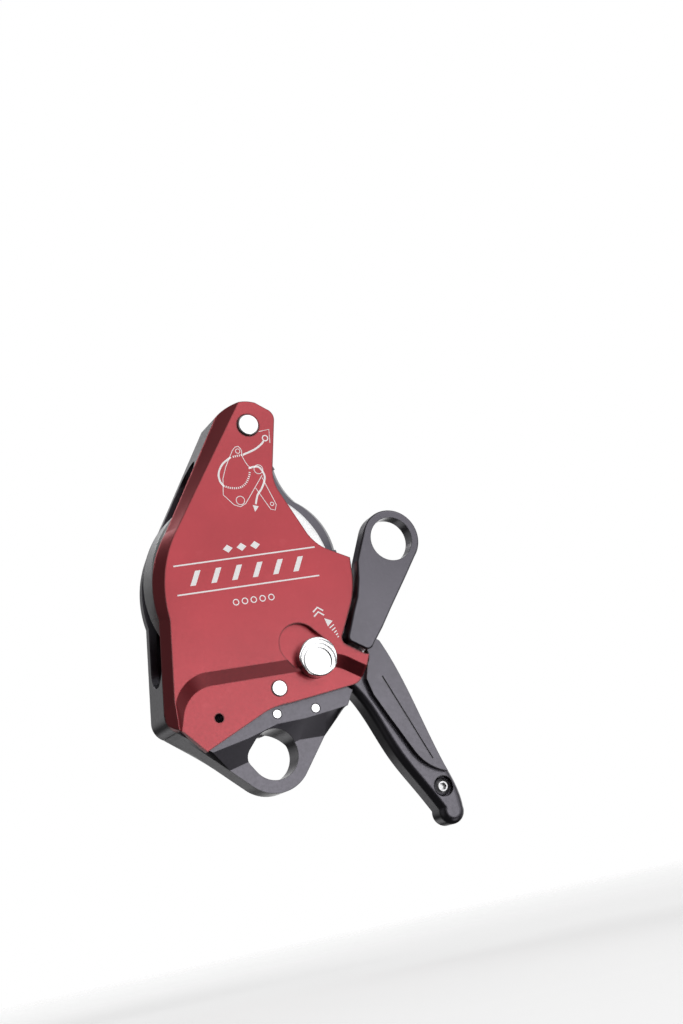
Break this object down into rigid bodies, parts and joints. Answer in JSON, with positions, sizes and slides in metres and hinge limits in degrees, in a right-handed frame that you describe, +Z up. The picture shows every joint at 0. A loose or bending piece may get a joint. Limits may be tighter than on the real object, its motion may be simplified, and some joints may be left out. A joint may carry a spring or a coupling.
{
  "type": "rope clutch",
  "caption": "Rope clutch with a one-way sheave between two side plates, a tether eye below, a becket eye at the side and a swinging release handle.",
  "frame": {"origin": "centre of the tether eye, half way through its thickness", "axes": "+Z up towards the top pin, +X towards the becket and handle, +Y to the back, through the thickness"},
  "size_m": [0.1141, 0.0354, 0.1761],
  "materials": {
    "red_anodised": "satin anodised",
    "black_anodised": "satin anodised",
    "stainless": "fine brushed",
    "polished_steel": "polished",
    "dark_steel": "black oxide",
    "bronze": "satin",
    "white_ink": "printed markings"
  },
  "bodies": {
    "frame": {"rear_side_plate": "black_anodised", "anchor_frame": "black_anodised", "becket": "black_anodised", "becket_screws": "dark_steel", "frame_screws": "dark_steel", "frame_dowels": "polished_steel", "brake_shoe": "stainless", "brake_shoe_screws": "dark_steel", "top_pin": "polished_steel", "top_spacer": "stainless", "arm_pivot_pin": "stainless", "handle_shaft": "stainless", "handle_shaft_nut": "dark_steel"},
    "front_plate": {"front_side_plate": "red_anodised", "lower_plate_rivet": "polished_steel", "top_bush": "bronze", "latch_spring": "stainless"},
    "release_button": {"release_button": "polished_steel", "latch_stem": "stainless"},
    "handle": {"control_handle": "black_anodised", "handle_bush": "bronze", "handle_cam": "stainless", "handle_end_screw": "stainless", "handle_spring": "stainless"},
    "arm": {"sheave_arm": "stainless", "arm_bush": "bronze", "sheave_axle": "stainless", "clutch_inner_ring": "stainless", "axle_washer": "stainless", "axle_screw": "dark_steel"},
    "sheave": {"sheave": "stainless", "clutch_shell": "stainless", "clutch_rollers": "polished_steel", "clutch_cage": "bronze"}
  },
  "joints": [
    {"name": "front_plate_swing", "type": "hinge", "parent": "frame", "child": "front_plate", "pos_m": [0.0134, -0.0115, 0.1275], "axis": [0, 1, 0], "range_deg": [0, 100]},
    {"name": "button_slide", "type": "slide", "parent": "front_plate", "child": "release_button", "axis": [-0.6845, 0, 0.729], "range_m": [0, 0.008], "deforming": ["latch_spring"]},
    {"name": "handle_pivot", "type": "hinge", "parent": "frame", "child": "handle", "pos_m": [0.0395, 0, 0.0315], "axis": [0, -1, 0], "range_deg": [0, 55]},
    {"name": "arm_pivot", "type": "hinge", "parent": "frame", "child": "arm", "pos_m": [-0.006, 0.0087, 0.037], "axis": [0, -1, 0], "range_deg": [0, 2.5]},
    {"name": "sheave_spin", "type": "hinge", "parent": "arm", "child": "sheave", "pos_m": [0.0015, -0.0008, 0.068], "axis": [0, 1, 0], "continuous": true}
  ],
  "couplings": [
    {"joint": "arm_pivot", "follows": "handle_pivot", "ratio": 0.045455}
  ]
}
